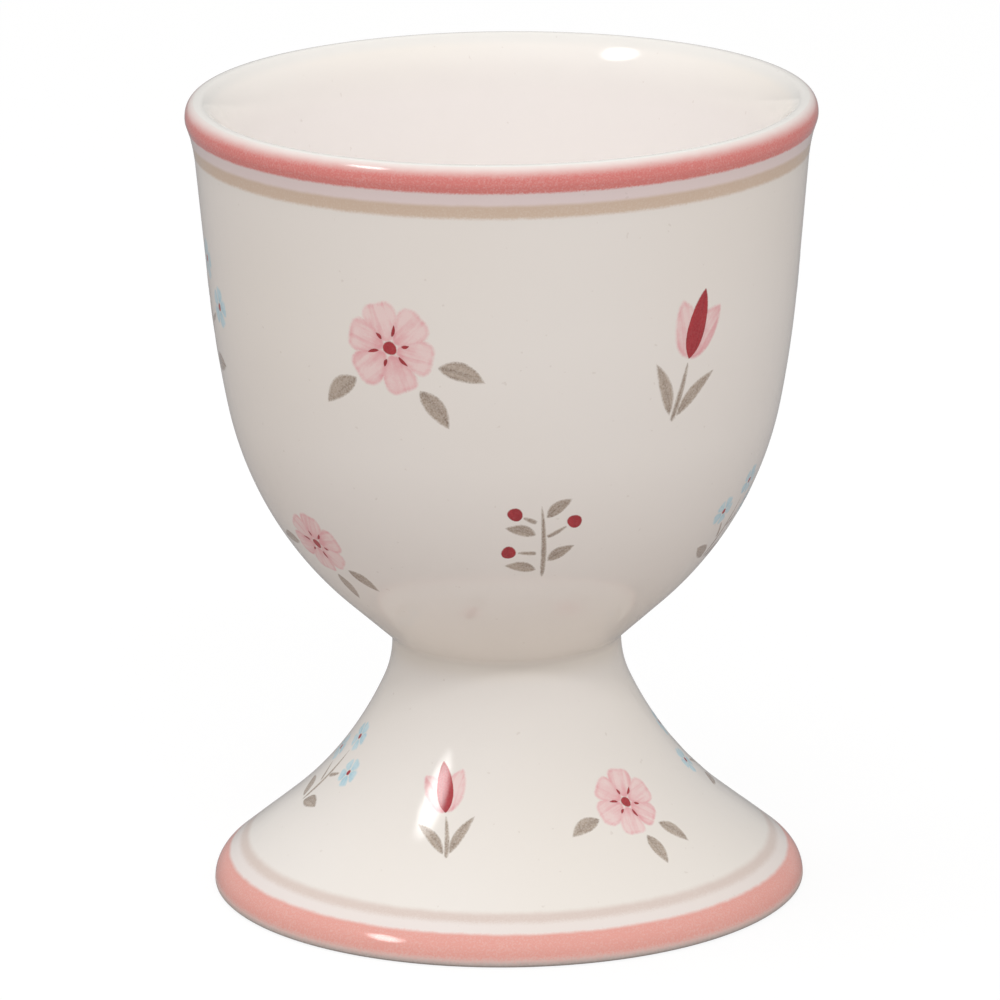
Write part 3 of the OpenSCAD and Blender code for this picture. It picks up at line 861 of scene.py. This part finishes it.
def patch_faces():
    """Faces of one patch: a fan round its middle, rings of quads, and a fan over its back.
    With them comes the number of its points."""
    index = np.arange(SECTORS * (len(RING_SHARES) - 1)).reshape(-1, SECTORS) + 1
    turned_index = np.roll(index, -1, axis=1)
    back = index[-1, -1] + 1
    fan = np.stack([np.zeros(SECTORS, int), index[0], turned_index[0]], axis=-1)
    quads = np.stack([index[:-1], index[1:], turned_index[1:], turned_index[:-1]], axis=-1)
    under = np.stack([np.full(SECTORS, back), turned_index[-1], index[-1]], axis=-1)
    return fan, quads.reshape(-1, 4), under, int(back) + 1


# ---- Flowers ----


def ahead(reach, turn):
    """Point at a reach from the origin, in the direction that a turn makes of straight up."""
    return np.array([0, reach]) @ flat_turn(turn)


class Flower:
    """Collects the printed shapes of one flower, each as (ink, patch, layer). An outline is
    grown by half of its ink's softness, so that the ink looks as wide as it is meant."""

    def __init__(self, p):
        self.p = p
        self.shapes = []
        self.beside = p.stalk_w + INK_GAP

    def lay(self, ink, shape, origin, turn, layer, bow=0.0):
        self.shapes.append((ink, patch(shape, origin, turn, INK_SOFT[ink], bow), layer))

    def blade(self, ink, origin, turn, long, wide, layer, bow_share=0.0, fullness=1.6):
        """A leaf, stalk or stroke that starts at a point and runs along a turn."""
        grow = INK_SOFT[ink] / 2
        bow = bow_share * long
        start = np.asarray(origin) - ahead(grow / 2, turn)
        shape = leaf_outline(long + grow, wide + 2 * grow, bow, fullness)
        self.lay(ink, shape, start, turn, layer, bow)

    def leaf(self, origin, degrees, skip, bow_share, long_share=1.0, wide_share=1.0):
        """A leaf that starts a skip away from a point."""
        turn = math.radians(degrees)
        start = origin + ahead(skip, turn)
        long, wide = self.p.leaf_l * long_share, self.p.leaf_w * wide_share
        self.blade("taupe", start, turn, long, wide, 0, bow_share)

    def stalk(self, start, stop, short, skip=0.0):
        """A stalk that starts a skip away from one point and ends short of another."""
        run = np.asarray(stop) - start
        turn = math.atan2(run[1], run[0]) - math.pi / 2
        long = np.hypot(*run) - short - skip
        self.blade("taupe", start + ahead(skip, turn), turn, long, self.p.stalk_w, 0, 0.02, 0.5)

    def petals(self, ink, count, size, ring_r, centre, foot, layer):
        """Petals in a ring. Each reaches from near the centre to where the CAD's round ends."""
        grow = INK_SOFT[ink] / 2
        for i in range(count):
            turn = 2 * math.pi * i / count + 0.05 * math.sin(5 * i + 100 * size)
            long = (ring_r + size / 2 - foot) * (1 + 0.03 * math.sin(4 * i + 1)) + grow
            origin = np.asarray(centre) + ahead(foot, turn)
            shape = petal_outline(long, size * 0.95 + 2 * grow, 2.4 * i)
            self.lay(ink, shape, origin, turn, layer + 0.7 * (i % 3))

    def dot(self, size, centre):
        """A red dot whose shape varies with its place."""
        grown = size + INK_SOFT["red"]
        shape = round_outline(grown, 1000 * (centre[0] + 2 * centre[1]))
        self.lay("red", shape, np.asarray(centre) - [0, grown / 2], 0.0, 9)

    def bloom(self):
        """Open pink bloom with a red heart and stamens, over three leaves."""
        p = self.p
        ring_r = p.petal_d * 0.84
        heart = p.petal_d * 0.56
        self.petals("pink", 6, p.petal_d, ring_r, (0, 0), 0.3 * MM, 3)
        self.dot(heart * 0.7, (0, 0))
        for i in range(6):
            turn = math.radians(30 + 60 * i) + 0.12 * math.sin(3 * i)
            long = heart * (0.72 if i % 2 else 0.5)
            start = ahead(heart * 0.56, turn)
            self.blade("red", start, turn, long, 0.34 * MM, 9, 0.06, 1.2)
        for degrees, bow in ((118, 0.07), (200, -0.05), (236, -0.08)):
            self.leaf(np.zeros(2), degrees, ring_r + p.petal_d / 2 + INK_GAP, bow)

    def spray(self):
        """Three small blue blossoms with red eyes, on stalks that part from one foot."""
        p = self.p
        ring_r = p.small_petal_d * 0.8
        tips = p.leaf_l * np.array([[-0.1, 1.3], [-0.95, 0.4], [0.85, 0.65]])
        base = p.leaf_l * np.array([0, -1.1])
        for tip in tips:
            self.petals("blue", 5, p.small_petal_d, ring_r, tip, 0.1 * MM, 3)
            self.dot(p.small_petal_d * 0.5, tip)
        reach = ring_r + p.small_petal_d / 2 + INK_GAP
        self.stalk(base, tips[0], reach)
        for fork, tip in ((0.25, tips[1]), (0.4, tips[2])):
            self.stalk(base + fork * (tips[0] - base), tip, reach, self.beside)
        for degrees, bow in ((72, 0.08), (-66, -0.08)):
            self.leaf(base, degrees, self.beside, bow)

    def tulip(self):
        """Closed tulip: a red petal between two pink ones, on a stalk with two long leaves."""
        p = self.p
        base = np.array([0, -p.tulip_h * 0.9])
        for side in (-1, 1):
            self.blade(
                "pink", (0, 0), side * math.radians(24), p.tulip_h * 0.88, p.tulip_w,
                3 + side * 0.3, side * 0.045, 1.3,
            )
        self.blade("red", (0, 0), 0.0, p.tulip_h, p.tulip_w * 0.72, 9, 0.0, 1.4)
        self.stalk(base, (0, 0), 2 * INK_GAP)
        for side in (-1, 1):
            self.leaf(base, side * 34, self.beside, side * 0.06, 1.3, 0.72)

    def twig(self):
        """Twig of leaves with red berries on short stalks."""
        p = self.p
        base, top = p.leaf_l * np.array([-0.2, -1.1]), p.leaf_l * np.array([0.25, 1.2])
        self.stalk(base, top, 0)
        for fork, place in ((0.35, (-0.85, -0.05)), (0.55, (0.95, 0.45)), (0.75, (-0.45, 1.1))):
            centre = p.leaf_l * np.array(place)
            self.dot(p.berry_d, centre)
            start = base + fork * (top - base)
            self.stalk(start, centre, p.berry_d / 2 + INK_GAP, self.beside)
        for fork, degrees in ((0.1, 66), (0.2, -70), (0.6, 62), (0.8, -66)):
            bow = math.copysign(0.07, degrees)
            self.leaf(base + fork * (top - base), degrees, self.beside, bow, 0.85, 0.85)


def flower_row(shapes, ground, looks, kinds, turn, place_share, size, stagger):
    """Casts a row of flowers round a turned surface and sorts their shapes by ink. Every other
    flower leans and stands off the other way."""
    p, middle = looks.print, place_share * looks.section.cup_h
    for i in range(p.row_count):
        side = 1 if i % 2 == 0 else -1
        flower = Flower(p)
        getattr(flower, kinds[i % len(kinds)])()
        tilt = size * flat_turn(side * p.sway)
        about, height = turn + 2 * math.pi * i / p.row_count, middle + side * stagger
        for ink, shape, layer in flower.shapes:
            points, normals = ground.cast(shape["flat"] @ tilt, about, height)
            kept = dict(shape, points=points, normals=normals)
            shapes.setdefault(ink, []).append((kept, layer))


def print_piece(name, shapes, material, slot, nodes):
    """One ink of all the flowers on a surface. Each shape is a closed film whose face stands
    lift * smooth(cover) over the glaze, so the fuller ink lies on top where shapes meet."""
    fan, quads, under, size = patch_faces()
    points, normals, faces = [], [], []
    values = {"cover": [], "along": [], "across": [], "tone": []}
    for k, (shape, layer) in enumerate(shapes):
        lift = (FILM_LIFT + FILM_DIP + layer * LAYER_LIFT) * smooth(shape["cover"]) - FILM_DIP
        face = shape["points"] + shape["normals"] * lift[:, None]
        back = shape["points"][:1] - shape["normals"][:1] * FILM_BACK
        points.append(np.concatenate([face, back]))
        normals.append(np.concatenate([shape["normals"], -shape["normals"][:1]]))
        for array in (fan, quads, under):
            faces.extend((array + k * size).tolist())
        for key in ("cover", "along", "across"):
            values[key].append(np.append(shape[key], shape[key][0]))
        values["tone"].append(np.full(size, (k * TONE_STEP) % 1))
    joined_values = {key: np.concatenate(parts) for key, parts in values.items()}
    make_piece(
        name, np.concatenate(points), faces, material, slot, nodes, joined_values,
        np.concatenate(normals),
    )


# ---- Operators ----


class EGGCUP_OT_bowl(bpy.types.Operator):
    """Turn the glazed bowl, inside and out"""

    bl_idname = "eggcup.bowl"
    bl_label = "Bowl"

    def execute(self, context):
        looks = context.scene.egg_cup
        cut = Section(looks.section)
        centre = np.array([[0.0, cut.seat[1]]])
        ring = np.concatenate([cut.bowl_inside, cut.bowl_outside[1:], centre])
        points, faces = turned(ring, closed=False)
        # Share of painted light that whitens the inside, from under the lip downwards
        depth = np.clip((looks.section.cup_h - INSIDE_LIGHT_DROP - points[:, 2]) / INSIDE_LIGHT_FADE, 0, 1)
        inside = depth * (np.arange(len(points)) < (len(cut.bowl_inside) - 1) * AROUND)
        material = glazed("bowl_glaze", looks)
        make_piece(
            "glazed_bowl", points, faces, material, "glazed_clay", ["bowl"], {"inside": inside}
        )
        return {"FINISHED"}


class EGGCUP_OT_foot(bpy.types.Operator):
    """Turn the glazed hollow foot with its bare standing ring"""

    bl_idname = "eggcup.foot"
    bl_label = "Foot"

    def execute(self, context):
        looks = context.scene.egg_cup
        cut = Section(looks.section)
        ring = np.concatenate([cut.foot_outside, cut.foot_inside])
        points, faces = turned(ring, closed=True)
        material = glazed("foot_glaze", looks)
        make_piece("glazed_foot", points, faces, material, "glazed_clay", ["foot"])
        return {"FINISHED"}


class EGGCUP_OT_slip_joint(bpy.types.Operator):
    """Turn the ring of slip that joins the foot to the bowl"""

    bl_idname = "eggcup.slip_joint"
    bl_label = "Slip joint"

    def execute(self, context):
        looks = context.scene.egg_cup
        points, faces = turned(Section(looks.section).slip, closed=True)
        material = glazed("slip_glaze", looks)
        make_piece("glazed_slip_joint", points, faces, material, "glazed_slip", ["slip_joint"])
        return {"FINISHED"}


class EGGCUP_OT_bands(bpy.types.Operator):
    """Lay the painted bands and fine lines on the bowl and the foot"""

    bl_idname = "eggcup.bands"
    bl_label = "Bands and lines"

    def execute(self, context):
        looks = context.scene.egg_cup
        b, c = looks.bands, looks.colours
        cut = Section(looks.section)
        bowl, foot = cut.bowl_outside, cut.foot_outside
        rows = (
            ("rim_band", bowl, b.band_soft, b.rim_fade, c.rim_pink, "pink"),
            ("rim_line", bowl, b.line_soft, b.line_soft, c.rim_taupe, "taupe"),
            ("foot_band", foot, b.foot_fade, b.band_soft, c.foot_pink, "pink"),
            ("foot_line", foot, b.line_soft, b.line_soft, c.foot_taupe, "taupe"),
        )
        for (low, high), (node, line, low_soft, high_soft, ink, slot) in zip(
            band_heights(looks), rows
        ):
            start = max(low - low_soft / 2 - FILM_MARGIN, FOOT_CLEAR)
            end = min(high + high_soft / 2 + FILM_MARGIN, looks.section.cup_h - LIP_CLEAR)
            section, normals = film_section(line, start, end)
            points, faces = turned(section, closed=True)
            material = band_material(
                node + "_enamel", looks, ink, low, high, low_soft, high_soft
            )
            make_piece(
                node + "_film", points, faces, material, slot + "_enamel", [node],
                normals=turned(normals, closed=True)[0],
            )
        return {"FINISHED"}


def lay_prints(looks, place, outside, *rows):
    """Prints rows of flowers on a turned surface, one piece for each ink."""
    ground, shapes = Ground(outside), {}
    for row in rows:
        flower_row(shapes, ground, looks, *row)
    for ink, (node, slot, *strengths) in INKS.items():
        name = f"{place}_{node}"
        tones = [getattr(looks.colours, slot + end) for end in ("_pale", "_deep")]
        material = print_material(name + "_enamel", looks, *tones, *strengths)
        print_piece(name + "_print", shapes[ink], material, slot + "_enamel", [name])


class EGGCUP_OT_bowl_print(bpy.types.Operator):
    """Print the flowers on the bowl, one piece for each ink"""

    bl_idname = "eggcup.bowl_print"
    bl_label = "Flowers on the bowl"

    def execute(self, context):
        looks = context.scene.egg_cup
        p = looks.print
        lay_prints(
            looks, "bowl", Section(looks.section).bowl_outside,
            (("bloom", "tulip", "spray"), p.upper_turn, p.upper_z_share, p.upper_size, p.stagger),
            (("twig", "spray", "bloom"), p.lower_turn, p.lower_z_share, p.lower_size, p.stagger),
        )
        return {"FINISHED"}


class EGGCUP_OT_foot_print(bpy.types.Operator):
    """Print the flowers on the foot, one piece for each ink"""

    bl_idname = "eggcup.foot_print"
    bl_label = "Flowers on the foot"

    def execute(self, context):
        looks = context.scene.egg_cup
        p = looks.print
        lay_prints(
            looks, "foot", Section(looks.section).foot_outside,
            (("tulip", "bloom", "spray"), p.foot_turn, p.foot_z_share, p.foot_size, 0.0),
        )
        return {"FINISHED"}


def floor_material():
    """Pale floor. The camera sees it white, with the cup's shadow. It lights the cup as plain
    pale board, and the glaze mirrors it somewhat darker."""
    material = bpy.data.materials.new("pale_floor")
    graph = Graph(material)
    mottle = graph.noise(graph.place(), 0.2)
    board = graph.mix(mottle, (0.55, 0.51, 0.495), (0.525, 0.485, 0.47))
    tone = graph.mix(graph.ray("Glossy"), board, (0.35, 0.345, 0.35))
    plain = graph.add("BsdfDiffuse", {"Color": tone})
    shade = graph.add("BsdfDiffuse", {"Color": (0.15, 0.15, 0.15, 1)})
    glow = graph.add("Emission", {"Strength": 0.86})
    white = graph.add("AddShader", {0: shade, 1: glow})
    shown = graph.add("MixShader", {0: graph.ray("Camera"), 1: plain, 2: white})
    graph.add("OutputMaterial", {"Surface": shown})
    return material


def facing(way, upright):
    """Axes (side, up, back) of something that faces the cup from a way off, with its up as
    near to upright as it can be."""
    back = Vector(way).normalized()
    side = Vector(upright).cross(back).normalized()
    return side, back.cross(side), back


def window_light(graph, way):
    """1 in the middle of the oval window and 0 outside it, soft between."""
    side, up, back = facing(WINDOW_WAY, WINDOW_UPRIGHT)
    along = graph.toward(way, up) / WINDOW_SIZE[0]
    across = graph.toward(way, side) / WINDOW_SIZE[1]
    inside = 1 - (along * along + across * across).ramp(0.05, 1.0)
    return inside * graph.toward(way, back).ramp(0.0, 0.1)


def make_world(stage):
    """White studio for the camera, a soft pale room for what it lights, and for what the glaze
    mirrors a greyer room with a brighter ceiling and an oval window at the upper left."""
    world = bpy.data.worlds.new("studio")
    bpy.context.scene.world = world
    graph = Graph(world)
    way = graph.add("TexCoord", output="Generated")
    camera, height = graph.ray("Camera"), graph.axis(way, "Z")
    mirrored = stage.room_gloss + height.ramp(0.35, 0.85) * 0.2
    mirrored = mirrored + window_light(graph, way) * stage.window
    lit = stage.room + graph.axis(way, "X") * (1 - height.ramp(0.1, 0.6)) * stage.room_side
    level = lit + graph.ray("Glossy").most(graph.ray("Transmission")) * (mirrored - lit)
    level = level + camera * (1 - level)
    tint = graph.mix(camera, (1.0, 0.99, 0.985), (1, 1, 1))
    background = graph.add("Background", {"Color": tint, "Strength": level})
    graph.add("OutputWorld", {"Surface": background})


def add_light(name, way, distance, size, power, upright):
    """Rectangular softbox that faces the cup from a distance, with its second size along
    upright. The glaze doesn't mirror it."""
    data = bpy.data.lights.new(name, "AREA")
    data.shape = "RECTANGLE"
    data.size, data.size_y = size
    data.energy = power
    light = placed(name, data)
    light.visible_glossy = False
    axes = facing(way, upright)
    target = Vector((0, 0, CAD_HIGH.z / 2))
    basis = Matrix(axes).transposed().to_4x4()
    light.matrix_world = Matrix.Translation(target + axes[2] * distance) @ basis


class EGGCUP_OT_stage(bpy.types.Operator):
    """Set up the floor, the soft studio light and the camera"""

    bl_idname = "eggcup.stage"
    bl_label = "Stage"

    def execute(self, context):
        stage = context.scene.egg_cup.stage
        mesh = bpy.data.meshes.new("pale_floor")
        corners = [(x * FLOOR_HALF, y * FLOOR_HALF, -FLOOR_DROP)
                   for x, y in ((-1, -1), (1, -1), (1, 1), (-1, 1))]
        mesh.from_pydata(corners, [], [(0, 1, 2, 3)])
        mesh.materials.append(floor_material())
        floor = placed("pale_floor", mesh)
        make_world(stage)
        add_light("top_softbox", TOP_WAY, TOP_DISTANCE, TOP_SIZE, stage.top_power, (0, 1, 0))
        add_light("key_softbox", KEY_WAY, KEY_DISTANCE, KEY_SIZE, stage.key_power, (0, 0, 1))

        data = bpy.data.cameras.new("camera")
        data.sensor_width, data.lens = CAMERA_SENSOR, CAMERA_LENS
        data.shift_x, data.shift_y = CAMERA_SHIFT
        data.clip_start = CAMERA_CLIP
        camera = placed("camera", data)
        turn = Matrix.Rotation(CAMERA_PITCH, 4, "X") @ Matrix.Rotation(CAMERA_ROLL, 4, "Z")
        camera.matrix_world = Matrix.Translation(CAMERA_PLACE) @ turn
        context.scene.camera = camera
        context.scene.view_settings.view_transform = "Standard"
        return {"FINISHED"}


class EGGCUP_PT_looks(bpy.types.Panel):
    """The cup's sizes and colours, and its pieces"""

    bl_idname = "EGGCUP_PT_looks"
    bl_label = "Egg cup"
    bl_space_type = "VIEW_3D"
    bl_region_type = "UI"
    bl_category = "Egg cup"

    def draw(self, context):
        looks = context.scene.egg_cup
        for group in (looks.section, looks.bands, looks.print, looks.colours, looks.stage):
            box = self.layout.box()
            for name in type(group).__annotations__:
                box.prop(group, name)
        for operator in OPERATORS:
            self.layout.operator(operator.bl_idname)


GROUPS = (EggCupSection, EggCupBands, EggCupPrint, EggCupColours, EggCupStage, EggCupLooks)
OPERATORS = (
    EGGCUP_OT_bowl,
    EGGCUP_OT_foot,
    EGGCUP_OT_slip_joint,
    EGGCUP_OT_bands,
    EGGCUP_OT_bowl_print,
    EGGCUP_OT_foot_print,
    EGGCUP_OT_stage,
)


def register():
    for cls in (*GROUPS, *OPERATORS, EGGCUP_PT_looks):
        bpy.utils.register_class(cls)
    bpy.types.Scene.egg_cup = PointerProperty(type=EggCupLooks)


def unregister():
    del bpy.types.Scene.egg_cup
    for cls in reversed((*GROUPS, *OPERATORS, EGGCUP_PT_looks)):
        bpy.utils.unregister_class(cls)


def main():
    register()
    bpy.ops.eggcup.bowl()
    bpy.ops.eggcup.foot()
    bpy.ops.eggcup.slip_joint()
    bpy.ops.eggcup.bands()
    bpy.ops.eggcup.bowl_print()
    bpy.ops.eggcup.foot_print()
    bpy.ops.eggcup.stage()


if __name__ == "__main__":
    main()
